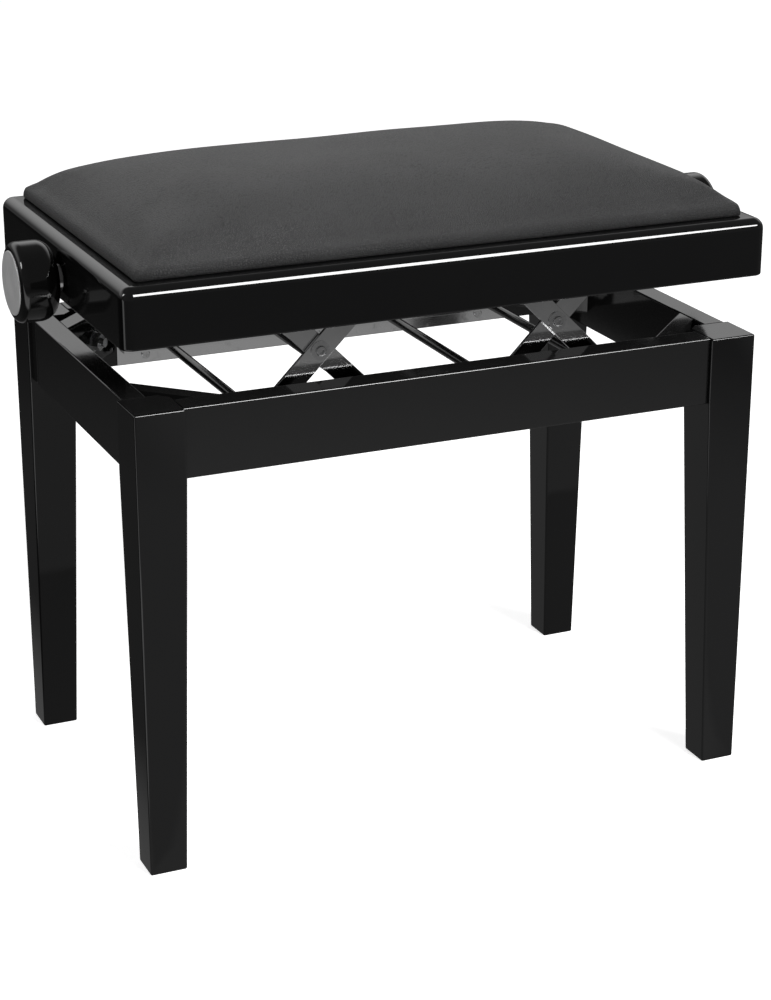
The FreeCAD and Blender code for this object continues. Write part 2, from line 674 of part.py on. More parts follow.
def bush():
    """The flanged steel bush in the right rail."""
    barrel = ring(BUSH_R, SPINDLE_R + RUNNING_GAP, on_axis(SEAT_IN_X), on_axis(SEAT_HALF_X))
    flange = ring(BUSH_FLANGE_R, SPINDLE_R + RUNNING_GAP, on_axis(SEAT_HALF_X),
                  on_axis(SEAT_HALF_X + BUSH_FLANGE_T))
    return barrel.fuse(flange).removeSplitter()


def collar():
    """The stop collar on the inner side of the right rail."""
    start = SEAT_IN_X - SIDE_GAP
    return ring(COLLAR_R, SPINDLE_R, on_axis(start - COLLAR_T), on_axis(start))


def is_knob_rim(edge, x):
    """The circle around one flat side of the knob."""
    return edge.Length > 5 * KNOB_R and abs(edge.CenterOfMass.x - x) < 0.01


def knob():
    """The right knob, turned: a hub, a rounded rim and a recess for the cap."""
    hub_x = SEAT_HALF_X + BUSH_FLANGE_T + SIDE_GAP
    body = rod(KNOB_R, on_axis(KNOB_INNER_X), on_axis(KNOB_OUTER_X))
    body = rounded(body, KNOB_INNER_ROUND, lambda edge: is_knob_rim(edge, KNOB_INNER_X))
    body = rounded(body, KNOB_OUTER_ROUND, lambda edge: is_knob_rim(edge, KNOB_OUTER_X))
    body = body.fuse(rod(KNOB_HUB_R, on_axis(hub_x), on_axis(KNOB_INNER_X + 1))).removeSplitter()
    recess = rod(CAP_R, on_axis(KNOB_OUTER_X - CAP_T + CAP_PROUD), on_axis(KNOB_OUTER_X + 1))
    socket = rod(SPINDLE_R, on_axis(0), on_axis(KNOB_INNER_X + KNOB_SOCKET_DEPTH))
    return body.cut(recess).cut(socket)


def knob_cap():
    """The thin metal disc in the knob's end."""
    start = KNOB_OUTER_X - CAP_T + CAP_PROUD
    disc = rod(CAP_R, on_axis(start), on_axis(start + CAP_T))
    return rounded(disc, CAP_ROUND, lambda edge: edge.CenterOfMass.x > start + CAP_T - 0.01)


def spindle():
    end = KNOB_INNER_X + KNOB_SOCKET_DEPTH
    return rod(SPINDLE_R, on_axis(-end), on_axis(end))


nodes["spindle"] = spindle()
nodes["spindle_bushes"] = group([bush(), mirror_x(bush())])
nodes["spindle_collars"] = group([collar(), mirror_x(collar())])
nodes["knob_left"] = mirror_x(knob())
nodes["knob_right"] = knob()
nodes["knob_cap_left"] = mirror_x(knob_cap())
nodes["knob_cap_right"] = knob_cap()

# ---- files --------------------------------------------------------------------------

os.makedirs("parts", exist_ok=True)
for name, shape in nodes.items():
    shape.exportStep("parts/" + name + ".step")
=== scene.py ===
import bpy
import bmesh
import json
import math
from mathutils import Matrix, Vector, noise


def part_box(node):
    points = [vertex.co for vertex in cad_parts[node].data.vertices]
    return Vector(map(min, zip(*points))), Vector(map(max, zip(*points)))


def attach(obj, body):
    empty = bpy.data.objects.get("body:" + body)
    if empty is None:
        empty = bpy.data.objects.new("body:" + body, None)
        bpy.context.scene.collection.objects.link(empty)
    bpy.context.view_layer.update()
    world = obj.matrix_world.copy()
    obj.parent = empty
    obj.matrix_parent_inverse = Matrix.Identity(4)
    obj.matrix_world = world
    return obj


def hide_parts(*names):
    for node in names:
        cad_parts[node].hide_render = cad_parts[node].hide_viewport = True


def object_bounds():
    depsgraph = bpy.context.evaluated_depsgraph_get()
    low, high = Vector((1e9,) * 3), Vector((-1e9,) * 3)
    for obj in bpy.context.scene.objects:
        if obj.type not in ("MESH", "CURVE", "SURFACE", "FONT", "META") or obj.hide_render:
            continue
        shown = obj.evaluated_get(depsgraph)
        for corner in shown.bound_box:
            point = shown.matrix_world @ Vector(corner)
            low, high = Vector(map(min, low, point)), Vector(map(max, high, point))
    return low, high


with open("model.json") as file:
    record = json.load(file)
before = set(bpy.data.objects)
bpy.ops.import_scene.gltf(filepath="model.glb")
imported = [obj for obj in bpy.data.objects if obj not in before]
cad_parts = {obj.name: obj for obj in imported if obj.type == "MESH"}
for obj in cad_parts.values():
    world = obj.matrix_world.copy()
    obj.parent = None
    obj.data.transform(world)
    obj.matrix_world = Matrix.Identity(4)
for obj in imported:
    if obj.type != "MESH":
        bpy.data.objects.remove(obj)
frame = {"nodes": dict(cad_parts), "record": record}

cad_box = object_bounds()
SCENE = bpy.context.scene
MM = 0.001

# ---- camera -------------------------------------------------------------------------

CAMERA_AT = (-0.7923, -1.8172, 0.9580)
CAMERA_YAW = 23.77        # degrees from +Y towards +X
CAMERA_PITCH = -20.27
CAMERA_LENS = 87.2        # mm, for the sensor below
CAMERA_SENSOR = 36.0      # mm, along the picture's long side
CAMERA_NEAR = 0.05


def make_camera():
    data = bpy.data.cameras.new("camera")
    data.lens = CAMERA_LENS
    data.sensor_width = CAMERA_SENSOR
    data.clip_start = CAMERA_NEAR
    camera = bpy.data.objects.new("camera", data)
    camera.location = CAMERA_AT
    camera.rotation_euler = (math.radians(90 + CAMERA_PITCH), 0, math.radians(-CAMERA_YAW))
    SCENE.collection.objects.link(camera)
    SCENE.camera = camera


# ---- node helpers -------------------------------------------------------------------

class Graph:
    """A small wrapper that adds shader nodes and wires them up in one call."""

    def __init__(self, tree):
        self.tree = tree
        tree.nodes.clear()

    def add(self, kind, settings=None, **inputs):
        """Add a node; inputs name its sockets with _ for a space, or i0, i1 by number."""
        node = self.tree.nodes.new(kind)
        for key, value in (settings or {}).items():
            setattr(node, key, value)
        for key, value in inputs.items():
            number = key[1:]
            if key[0] == "i" and number.isdigit():
                socket = node.inputs[int(number)]
            else:
                socket = node.inputs[key.replace("_", " ")]
            if isinstance(value, bpy.types.NodeSocket):
                self.tree.links.new(value, socket)
            else:
                socket.default_value = value
        return node

    def math(self, operation, a, b=0.0):
        node = self.add("ShaderNodeMath", {"operation": operation}, i0=a, i1=b)
        return node.outputs[0]

    def spread(self, value, low, high, to_low=0.0, to_high=1.0):
        """Map a value smoothly from one range to another."""
        node = self.add("ShaderNodeMapRange", {"interpolation_type": "SMOOTHSTEP"}, Value=value,
                        From_Min=low, From_Max=high, To_Min=to_low, To_Max=to_high)
        return node.outputs[0]

    def noise(self, where, scale, detail=3.0, roughness=0.5):
        """Noise with a given number of cells to the metre, octaves and roughness."""
        node = self.add("ShaderNodeTexNoise", Vector=where, Scale=scale, Detail=detail,
                        Roughness=roughness)
        return node.outputs[0]

    def edge_highlight_mask(self, low, high):
        """How far a place is on a convex edge, from the mesh's pointiness; it places the painted edge
        highlights.
        """
        return self.spread(self.add("ShaderNodeNewGeometry").outputs["Pointiness"], low, high)

    def blend(self, factor, a, b):
        """Mix two colours."""
        node = self.add("ShaderNodeMix", {"data_type": "RGBA"}, i0=factor, i6=a, i7=b)
        return node.outputs[2]

    def stretch(self, where, scale):
        """Scale the coordinates, so that a texture is drawn out along one axis."""
        node = self.add("ShaderNodeMapping", Vector=where, Scale=scale)
        return node.outputs[0]

    def bump(self, height, strength, distance, under=None):
        """The normal for a height, on top of another bump if one is given."""
        extra = {"Normal": under} if under else {}
        node = self.add("ShaderNodeBump", Height=height, Strength=strength, Distance=distance, **extra)
        return node.outputs[0]


def new_material(name):
    """A node material, its graph and the object's own coordinates in metres."""
    material = bpy.data.materials.new(name)
    material.use_nodes = True
    graph = Graph(material.node_tree)
    where = graph.add("ShaderNodeTexCoord").outputs["Object"]
    return material, graph, where


def finish_material(graph, shader):
    graph.add("ShaderNodeOutputMaterial", Surface=shader.outputs[0])


# ---- materials ----------------------------------------------------------------------

def black_lacquer():
    """Polished black lacquer: a deep coat with faint orange peel, dust specks, and convex edges that are
    rougher and painted lighter as a highlight.
    """
    material, g, where = new_material("lacquer_black")
    peel = g.noise(where, 210.0, 2.0, 0.45)
    sag = g.noise(where, 26.0, 1.0)
    haze = g.noise(where, 9.0, 4.0, 0.6)
    specks = g.spread(g.noise(where, 1500.0, 1.0), 0.74, 0.8)
    wear_and_edge_highlight = g.edge_highlight_mask(0.53, 0.62)
    rough = g.spread(haze, 0.35, 0.75, 0.022, 0.05)
    rough = g.math("ADD", rough, g.math("MULTIPLY", wear_and_edge_highlight, 0.05))
    rough = g.math("ADD", rough, g.math("MULTIPLY", specks, 0.08))
    colour = g.blend(haze, (0.0018, 0.0018, 0.0019, 1), (0.0029, 0.0029, 0.003, 1))
    # Convex edges lighter: a painted edge highlight.
    colour = g.blend(g.math("MULTIPLY", wear_and_edge_highlight, 0.5), colour, (0.012, 0.012, 0.012, 1))
    normal = g.bump(sag, 0.03, 0.002)
    normal = g.bump(peel, 0.035, 0.0003, normal)
    shader = g.add("ShaderNodeBsdfPrincipled", Base_Color=colour, Roughness=rough, IOR=1.5,
                   Normal=normal)
    finish_material(g, shader)
    return material


def plated_steel():
    """Bright plated steel: mirror-like, with fine rolling lines, dull patches and convex edges painted
    lighter as a highlight.
    """
    material, g, where = new_material("steel_plated")
    patches = g.noise(where, 34.0, 3.0, 0.6)
    rolled = g.noise(g.stretch(where, (30.0, 900.0, 900.0)), 1.0, 2.0)
    stain = g.spread(g.noise(where, 75.0, 4.0, 0.65), 0.56, 0.78)
    wear_and_edge_highlight = g.edge_highlight_mask(0.52, 0.6)
    colour = g.blend(patches, (0.57, 0.57, 0.58, 1), (0.69, 0.69, 0.69, 1))
    colour = g.blend(g.math("MULTIPLY", stain, 0.5), colour, (0.34, 0.335, 0.33, 1))
    # Convex edges lighter: a painted edge highlight.
    colour = g.blend(g.math("MULTIPLY", wear_and_edge_highlight, 0.5), colour, (0.82, 0.82, 0.82, 1))
    rough = g.spread(patches, 0.3, 0.7, 0.09, 0.14)
    rough = g.math("ADD", rough, g.math("MULTIPLY", stain, 0.14))
    normal = g.bump(rolled, 0.012, 0.0002)
    shader = g.add("ShaderNodeBsdfPrincipled", Base_Color=colour, Metallic=1.0, Roughness=rough,
                   Normal=normal)
    finish_material(g, shader)
    return material


def black_rod():
    """Black enamelled rod: glossy, with faint drawing lines and dull handled patches."""
    material, g, where = new_material("steel_black")
    drawn = g.noise(g.stretch(where, (1100.0, 25.0, 1100.0)), 1.0, 2.0)
    patches = g.noise(where, 40.0, 3.0, 0.6)
    wear_and_edge_highlight = g.spread(g.noise(where, 160.0, 4.0, 0.6), 0.62, 0.76)
    colour = g.blend(patches, (0.006, 0.006, 0.0062, 1), (0.014, 0.014, 0.0142, 1))
    colour = g.blend(g.math("MULTIPLY", wear_and_edge_highlight, 0.4), colour, (0.05, 0.05, 0.05, 1))
    rough = g.spread(patches, 0.3, 0.7, 0.1, 0.2)
    shader = g.add("ShaderNodeBsdfPrincipled", Base_Color=colour, Roughness=rough, IOR=1.5,
                   Normal=g.bump(drawn, 0.04, 0.0001))
    finish_material(g, shader)
    return material


def zinc_steel():
    """Zinc-plated steel: mottled by its crystals, with a few dull stains."""
    material, g, where = new_material("steel_zinc")
    cells = g.add("ShaderNodeTexVoronoi", Vector=where, Scale=420.0)
    stain = g.noise(where, 90.0, 4.0, 0.65)
    fine = g.noise(where, 1600.0, 2.0)
    colour = g.blend(cells.outputs["Color"], (0.42, 0.43, 0.45, 1), (0.62, 0.62, 0.61, 1))
    colour = g.blend(g.spread(stain, 0.5, 0.75), colour, (0.2, 0.2, 0.19, 1))
    rough = g.spread(stain, 0.3, 0.75, 0.22, 0.46)
    normal = g.bump(fine, 0.12, 0.0002)
    shader = g.add("ShaderNodeBsdfPrincipled", Base_Color=colour, Metallic=1.0, Roughness=rough,
                   Normal=normal)
    finish_material(g, shader)
    return material


def black_board():
    """Plywood stained black: the long grain and its pores still show through the stain."""
    material, g, where = new_material("plywood_black")
    warp = g.noise(where, 5.0, 2.0)
    bend = g.add("ShaderNodeCombineXYZ", X=0.0, Y=g.math("MULTIPLY", warp, 9.0), Z=0.0)
    bent = g.add("ShaderNodeVectorMath", {"operation": "ADD"}, i0=g.stretch(where, (6.0, 90.0, 90.0)),
                 i1=bend.outputs[0])
    grain = g.noise(bent.outputs[0], 1.0, 5.0, 0.6)
    pores = g.noise(g.stretch(where, (40.0, 1500.0, 1500.0)), 1.0, 2.0)
    colour = g.blend(g.spread(grain, 0.3, 0.7), (0.012, 0.011, 0.01, 1), (0.03, 0.028, 0.026, 1))
    colour = g.blend(g.spread(pores, 0.62, 0.75), colour, (0.006, 0.006, 0.006, 1))
    rough = g.spread(grain, 0.2, 0.8, 0.45, 0.65)
    normal = g.bump(pores, 0.3, 0.0003, g.bump(grain, 0.2, 0.0006))
    shader = g.add("ShaderNodeBsdfPrincipled", Base_Color=colour, Roughness=rough, Normal=normal)
    finish_material(g, shader)
    return material


def leatherette():
    """Black leatherette: fine pebble grain between shallow creases, painted shade darkening the creases,
    slightly polished high spots.
    """
    material, g, where = new_material("leatherette_black")
    wobble = g.noise(where, 260.0, 2.0)
    shift = g.add("ShaderNodeVectorMath", {"operation": "ADD"}, i0=where,
                  i1=g.add("ShaderNodeCombineXYZ", X=g.math("MULTIPLY", wobble, 0.0012),
                           Y=g.math("MULTIPLY", wobble, -0.001), Z=0.0).outputs[0])
    pebble = g.add("ShaderNodeTexVoronoi", {"feature": "DISTANCE_TO_EDGE"}, Vector=shift.outputs[0],
                   Scale=540.0)
    crease = g.spread(pebble.outputs["Distance"], 0.0, 0.22)
    small = g.noise(where, 2300.0, 2.0)
    broad = g.noise(where, 14.0, 3.0, 0.55)
    rubbed = g.noise(where, 5.0, 3.0, 0.6)
    # Darker in the creases between pebbles: painted shade.
    colour = g.blend(crease, (0.013, 0.013, 0.0135, 1), (0.027, 0.027, 0.0275, 1))
    colour = g.blend(g.math("MULTIPLY", g.spread(broad, 0.35, 0.7), 0.35), colour, (0.034, 0.034, 0.035, 1))
    rough = g.spread(rubbed, 0.3, 0.7, 0.46, 0.54)
    rough = g.math("ADD", rough, g.math("MULTIPLY", g.math("SUBTRACT", 1.0, crease), 0.12))
    normal = g.bump(broad, 0.12, 0.002)
    normal = g.bump(crease, 0.6, 0.00035, normal)
    normal = g.bump(small, 0.12, 0.0001, normal)
    shader = g.add("ShaderNodeBsdfPrincipled", Base_Color=colour, Roughness=rough, IOR=1.42,
                   Sheen_Weight=0.05, Sheen_Roughness=0.4, Normal=normal)
    finish_material(g, shader)
    return material


def knob_plastic():
    """Polished black plastic with hairline scratches from handling."""
    material, g, where = new_material("plastic_black")
    scratch = g.noise(g.stretch(where, (120.0, 2600.0, 2600.0)), 1.0, 3.0, 0.7)
    haze = g.noise(where, 60.0, 4.0, 0.6)
    colour = g.blend(haze, (0.0035, 0.0035, 0.0036, 1), (0.007, 0.007, 0.007, 1))
    rough = g.spread(haze, 0.35, 0.75, 0.06, 0.13)
    normal = g.bump(scratch, 0.03, 0.0001)
    normal = g.bump(g.noise(where, 45.0, 1.0), 0.04, 0.002, normal)
    shader = g.add("ShaderNodeBsdfPrincipled", Base_Color=colour, Roughness=rough, IOR=1.5,
                   Normal=normal)
    finish_material(g, shader)
    return material


def cap_metal():
    """Satin aluminium, turned: fine rings around the spindle's axis."""
    material, g, where = new_material("aluminium_satin")
    low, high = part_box("knob_cap_left")
    centre = (low + high) / 2
    at = g.add("ShaderNodeSeparateXYZ", Vector=where)
    y = g.math("SUBTRACT", at.outputs[1], centre.y)
    z = g.math("SUBTRACT", at.outputs[2], centre.z)
    radius = g.math("SQRT", g.math("ADD", g.math("MULTIPLY", y, y), g.math("MULTIPLY", z, z)))
    line = g.add("ShaderNodeCombineXYZ", X=g.math("MULTIPLY", radius, 9000.0), Y=0.0, Z=0.0)
    rings = g.noise(line.outputs[0], 1.0, 3.0, 0.7)
    smear = g.noise(where, 70.0, 3.0)
    colour = g.blend(rings, (0.68, 0.68, 0.685, 1), (0.85, 0.85, 0.85, 1))
    rough = g.math("ADD", g.spread(smear, 0.3, 0.7, 0.38, 0.46), g.math("MULTIPLY", rings, 0.08))
    shader = g.add("ShaderNodeBsdfPrincipled", Base_Color=colour, Metallic=0.6, Roughness=rough,
                   Normal=g.bump(rings, 0.12, 0.0001))
    finish_material(g, shader)
    return material


def make_materials():
    """One material for each material slot."""
    return {
        "black_lacquer": black_lacquer(),
        "plated_steel": plated_steel(),
        "zinc_steel": zinc_steel(),
        "black_rod": black_rod(),
        "black_board": black_board(),
        "leatherette": leatherette(),
        "knob_plastic": knob_plastic(),
        "cap_metal": cap_metal(),
    }


# ---- mesh helpers -------------------------------------------------------------------

def make_object(name, verts, faces, material):
    """A smooth-shaded mesh object in the scene, with its material and slot."""
    mesh = bpy.data.meshes.new(name)
    mesh.from_pydata(verts, [], faces)
    mesh.validate()
    mesh.polygons.foreach_set("use_smooth", [True] * len(mesh.polygons))
    piece = bpy.data.objects.new(name, mesh)
    SCENE.collection.objects.link(piece)
    mesh.materials.append(material)
    return piece


# ---- cushion ------------------------------------------------------------------------

EDGE_STEP = 3.0 * MM       # grid spacing near the cushion's edges
MIDDLE_STEP = 9.0 * MM     # and in its middle
EDGE_ZONE = 30.0 * MM
WALL_H = 11.0 * MM
WALL_RINGS = ((1.5, -1.6), (2.3, -4.0), (2.4, -6.6), (2.0, -8.8), (1.2, -10.6))   # out, up in mm
RIDGE_BLEND = 20.0 * MM    # how softly the four slopes meet
RIDGE_FADE = 60.0 * MM     # nearer to the edges than this they meet more sharply
RIDGE_LEAST = 0.05         # the share of the softness that is left at the edges
UNDERSIDE_LIFT = 0.3 * MM
CLOTH_SHRINK = 2.2 * MM    # the cover starts this much smaller on each side
CLOTH_CAP = 3.5 * MM       # no point swells further than this
SETTLE = 1.2 * MM          # added to the crown, because the smoothing takes it off again
CLOTH_FRAMES = 20
CLOTH_SETTINGS = {
    "quality": 6,
    "mass": 0.4,
    "tension_stiffness": 25,
    "compression_stiffness": 25,
    "shear_stiffness": 8,
    "bending_stiffness": 2,
    "use_pressure": True,
    "uniform_pressure_force": 4,
}
EVEN_OUT_PASSES = 14       # how far the swelling is evened out over its neighbours

# Heights on the cover as shares of the wall's height.
FOLD_FROM = 0.04
FOLD_GROWTH = 1.6          # the fold is full from 1 / 1.6 of the wall upwards
TOP_FROM = 0.9
# The fold at each corner and the two lips beside it; depths are in mm.
FOLD_DEPTH = 1.8
FOLD_DROP = 1.0
FOLD_W = 1.9 * MM
FOLD_L = 7.5 * MM
LIP_OUT = 0.5
LIP_RISE = 0.35
LIP_AWAY = 5 * MM
LIP_W = 2.6 * MM
LIP_L = 11 * MM
# Puckers that fan out from the corner.
PUCKER_RISE = 0.28 * MM
PUCKER_WAVES = 15
PUCKER_FAN = 4 * MM
PUCKER_START = 5 * MM
PUCKER_L = 17 * MM
# The pressed line inside the wall, and the slow unevenness of the top.
LINE_DEPTH = 0.4 * MM
LINE_IN = 9 * MM
LINE_W = 4.5 * MM
UNEVEN_RISE = 0.7 * MM
UNEVEN_SCALE = 14
UNEVEN_SEED = 3.7
UNEVEN_FADE = 40 * MM


def grid_stops(half):
    """Positions across the cushion: close together near both edges."""
    count = round(EDGE_ZONE / EDGE_STEP)
    outer = [half - k * EDGE_STEP for k in range(count)]
    inner_half = half - EDGE_ZONE
    cells = round(2 * inner_half / MIDDLE_STEP)
    inner = [inner_half * (1 - 2 * k / cells) for k in range(cells + 1)]
    return sorted(outer + inner + [-x for x in outer])


def arch(distance_in, reach, rise):
    """Height of a circular arch, a given distance in from its edge."""
    radius = (reach ** 2 + rise ** 2) / (2 * rise)
    u = max(0.0, reach - distance_in)
    return rise - radius + math.sqrt(radius ** 2 - u ** 2)


def soft_min(a, b, blend):
    """The smaller of two heights, rounded off where they cross."""
    h = max(0.0, min(1.0, 0.5 + 0.5 * (b - a) / blend))
    return b + (a - b) * h - blend * h * (1 - h)


def cushion_mesh(half_x, half_y, base_z, rise):
    """A closed cushion: an arched top, a low wall that rolls under, and a flat underside."""
    xs = grid_stops(half_x)
    ys = grid_stops(half_y)
    columns, rows = len(xs), len(ys)
    top = {}
    verts = []
    for j, y in enumerate(ys):
        for i, x in enumerate(xs):
            from_x = arch(half_x - abs(x), half_y, rise)
            from_y = arch(half_y - abs(y), half_y, rise)
            edge = min(half_x - abs(x), half_y - abs(y))
            blend = RIDGE_BLEND * min(1.0, edge / RIDGE_FADE + RIDGE_LEAST)
            top[i, j] = len(verts)
            verts.append((x, y, base_z + WALL_H + soft_min(from_x, from_y, blend)))
    faces = [(top[i, j], top[i + 1, j], top[i + 1, j + 1], top[i, j + 1])
             for j in range(rows - 1) for i in range(columns - 1)]
    rim = [(i, 0) for i in range(columns - 1)] + [(columns - 1, j) for j in range(rows - 1)]
    rim += [(i, rows - 1) for i in range(columns - 1, 0, -1)] + [(0, j) for j in range(rows - 1, 0, -1)]
    last = [top[c] for c in rim]
    for out, up in WALL_RINGS:
        ring = []
        for i, j in rim:
            x, y = xs[i], ys[j]
            push_x = (i == columns - 1) - (i == 0)
            push_y = (j == rows - 1) - (j == 0)
            ring.append(len(verts))
            verts.append((x + push_x * out * MM, y + push_y * out * MM, base_z + WALL_H + up * MM))
        count = len(ring)
        faces += [(last[k], ring[k], ring[(k + 1) % count], last[(k + 1) % count]) for k in range(count)]
        last = ring
    pinned = list(last)
    under = dict(zip(rim, last))
    for j in range(rows):
        for i in range(columns):
            if (i, j) not in under:
                under[i, j] = len(verts)
                pinned.append(len(verts))
                verts.append((xs[i], ys[j], base_z + UNDERSIDE_LIFT))
    for j in range(rows - 1):
        for i in range(columns - 1):
            faces.append((under[i, j], under[i, j + 1], under[i + 1, j + 1], under[i + 1, j]))
    return verts, faces, pinned


def inflate(piece, pinned):
    """Swell the cover with a short cloth simulation, no further than the cap, and keep the result."""
    before = [v.co.copy() for v in piece.data.vertices]
    group = piece.vertex_groups.new(name="held")
    group.add(pinned, 1.0, "REPLACE")
    cloth = piece.modifiers.new("cloth", "CLOTH")
    for name, value in CLOTH_SETTINGS.items():
        setattr(cloth.settings, name, value)
    cloth.settings.effector_weights.gravity = 0
    cloth.settings.vertex_group_mass = "held"
    cloth.collision_settings.use_collision = False
    for number in range(1, CLOTH_FRAMES + 1):
        SCENE.frame_set(number)
    depsgraph = bpy.context.evaluated_depsgraph_get()
    blown = piece.evaluated_get(depsgraph).to_mesh()
    after = [v.co.copy() for v in blown.vertices]
    piece.modifiers.remove(cloth)
    moves = []
    for start, end in zip(before, after):
        move = end - start
        if move.length > CLOTH_CAP:
            move *= CLOTH_CAP / move.length
        moves.append(move)
    for vertex, start, move in zip(piece.data.vertices, before, even_out(piece.data, moves)):
        vertex.co = start + move
    SCENE.frame_set(1)


def even_out(mesh, moves):
    """Average each point's move with its neighbours', so that the cover swells without wrinkles."""
    near = [[] for _ in mesh.vertices]
    for edge in mesh.edges:
        a, b = edge.vertices
        near[a].append(b)
        near[b].append(a)
    for _ in range(EVEN_OUT_PASSES):
        moves = [(moves[k] + sum((moves[n] for n in near[k]), Vector())) / (len(near[k]) + 1)
                 for k in range(len(moves))]
    return moves


def subdivide(piece):
    """Smooth the mesh by one subdivision and keep the result."""
    modifier = piece.modifiers.new("smooth", "SUBSURF")
    modifier.levels = 1
    modifier.render_levels = 1
    depsgraph = bpy.context.evaluated_depsgraph_get()
    finer = bpy.data.meshes.new_from_object(piece.evaluated_get(depsgraph))
    piece.modifiers.remove(modifier)
    piece.data = finer


def bell(distance, width):
    """1 at no distance, falling off smoothly over the width."""
    return math.exp(-(distance / width) ** 2)


def pinch_corners(piece, half_x, half_y, base_z):
    """Fold the cover in at each corner and pucker it there, then press in the line above the wall."""
    for vertex in piece.data.vertices:
        co = vertex.co
        sx = 1 if co.x > 0 else -1
        sy = 1 if co.y > 0 else -1
        in_x = half_x - abs(co.x)
        in_y = half_y - abs(co.y)
        along = (in_x + in_y) / math.sqrt(2)
        across = (in_x - in_y) / math.sqrt(2)
        height = (co.z - base_z) / WALL_H
        if height < FOLD_FROM:
            continue
        wall = min(1.0, height * FOLD_GROWTH)
        fold = bell(across, FOLD_W) * math.exp(-max(0.0, along) / FOLD_L)
        lips = bell(abs(across) - LIP_AWAY, LIP_W) * math.exp(-max(0.0, along) / LIP_L)
        inward = (FOLD_DEPTH * fold - LIP_OUT * lips) * MM * wall
        co.x -= sx * inward / math.sqrt(2)
        co.y -= sy * inward / math.sqrt(2)
        if height > TOP_FROM:
            co.z -= (FOLD_DROP * fold - LIP_RISE * lips) * MM
            angle = math.atan2(in_y + PUCKER_FAN, in_x + PUCKER_FAN)
            pucker = math.sin(angle * PUCKER_WAVES + 2 * sx + sy) * math.exp(-along / PUCKER_L)
            co.z += PUCKER_RISE * pucker * min(1.0, along / PUCKER_START)
            edge = min(in_x, in_y)
            co.z -= LINE_DEPTH * bell(edge - LINE_IN, LINE_W)
            slow = noise.noise(Vector((co.x * UNEVEN_SCALE, co.y * UNEVEN_SCALE, UNEVEN_SEED)))
            co.z += UNEVEN_RISE * slow * min(1.0, edge / UNEVEN_FADE)


def make_cushion(materials):
    """The cushion's cover, swelled, smoothed and folded, in place of its CAD solid."""
    low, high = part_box("cushion")
    half_x = (high.x - low.x) / 2 - CLOTH_SHRINK
    half_y = (high.y - low.y) / 2 - CLOTH_SHRINK
    rise = high.z - low.z - WALL_H + SETTLE
    verts, faces, pinned = cushion_mesh(half_x, half_y, low.z, rise)
    piece = make_object("cushion_cover", verts, faces, materials["leatherette"])
    inflate(piece, pinned)
    subdivide(piece)
    pinch_corners(piece, half_x, half_y, low.z)
    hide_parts("cushion")
    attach(piece, "seat")


# ---- threaded spindle ---------------------------------------------------------------

THREAD_LEAD = 6.0 * MM
THREAD_STARTS = 2
THREAD_CREST = 5.9 * MM
THREAD_ROOT = 4.7 * MM
THREAD_FACETS = 36
THREAD_PROFILE = (1.0, 1.0, 0.5, 0.0, 0.0, 0.5)     # crest, crest, flank, root, root, flank
THREAD_FROM_X = 30 * MM
THREAD_TO_X = 150 * MM
THREAD_FADE = 2             # leads over which the thread runs out at each end
NECK_NEAR = 3 * MM          # the step from the thread's root up to the plain rod
NECK_FAR = 4 * MM
PLAIN_UNDERSIZE = 0.05 * MM
WELD = 0.001 * MM
SHARP_DEG = 35


def thread(hand):
    """One threaded length of the spindle, from near its middle outwards, with plain ends."""
    low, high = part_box("spindle")
    axis_y = (low.y + high.y) / 2
    axis_z = (low.z + high.z) / 2
    plain = (high.z - low.z) / 2 - PLAIN_UNDERSIZE
    steps = len(THREAD_PROFILE) * THREAD_STARTS
    rise = THREAD_LEAD / steps
    rows = round((THREAD_TO_X - THREAD_FROM_X) / rise)
    verts = []
    faces = []
    ends = [(0.0, plain), (THREAD_FROM_X - NECK_FAR, plain), (THREAD_FROM_X - NECK_NEAR, THREAD_ROOT)]
    tail = [(THREAD_TO_X + THREAD_LEAD + NECK_NEAR, THREAD_ROOT),
            (THREAD_TO_X + THREAD_LEAD + NECK_FAR, plain), (high.x, plain)]

    def loop(points):
        first = len(verts)
        for k, (x, radius) in enumerate(points):
            angle = 2 * math.pi * k / THREAD_FACETS
            verts.append((hand * x, axis_y + radius * math.cos(angle), axis_z + radius * math.sin(angle)))
        return [first + k for k in range(THREAD_FACETS)]

    rings = [loop([end] * THREAD_FACETS) for end in ends]
    for row in range(rows + 1):
        ring = []
        fade = min(1.0, row / (THREAD_FADE * steps), (rows - row) / (THREAD_FADE * steps))
        for k in range(THREAD_FACETS):
            x = THREAD_FROM_X + row * rise + THREAD_LEAD * k / THREAD_FACETS
            share = THREAD_PROFILE[row % len(THREAD_PROFILE)]
            radius = THREAD_ROOT + (THREAD_CREST - THREAD_ROOT) * share * fade
            ring.append((x, radius))
        rings.append(loop(ring))
    rings += [loop([end] * THREAD_FACETS) for end in tail]
    start = len(ends)
    stop = start + rows
    for r in range(len(rings) - 1):
        for k in range(THREAD_FACETS):
            a, b = rings[r], rings[r + 1]
            k2 = (k + 1) % THREAD_FACETS
            seam = k2 == 0
            if not seam or r < start - 1 or r > stop:
                faces.append((a[k], a[k2], b[k2], b[k]))
    # Across the helix's seam the last facet of a row joins the row one lead further on.
    for row in range(rows):
        r = start + row
        ahead = row + steps
        if ahead + 1 <= rows:
            faces.append((rings[r][-1], rings[start + ahead][0], rings[start + ahead + 1][0],
                          rings[r + 1][-1]))
    near = [rings[start + row][0] for row in range(steps + 1)]
    faces.append((rings[start - 1][-1], rings[start - 1][0], *near, rings[start][-1]))
    far = [rings[stop - steps + row][-1] for row in range(steps + 1)]
    faces.append((rings[stop][0], rings[stop + 1][0], rings[stop + 1][-1], *reversed(far)))
    faces.append(tuple(reversed(rings[-1])))
    return verts, faces


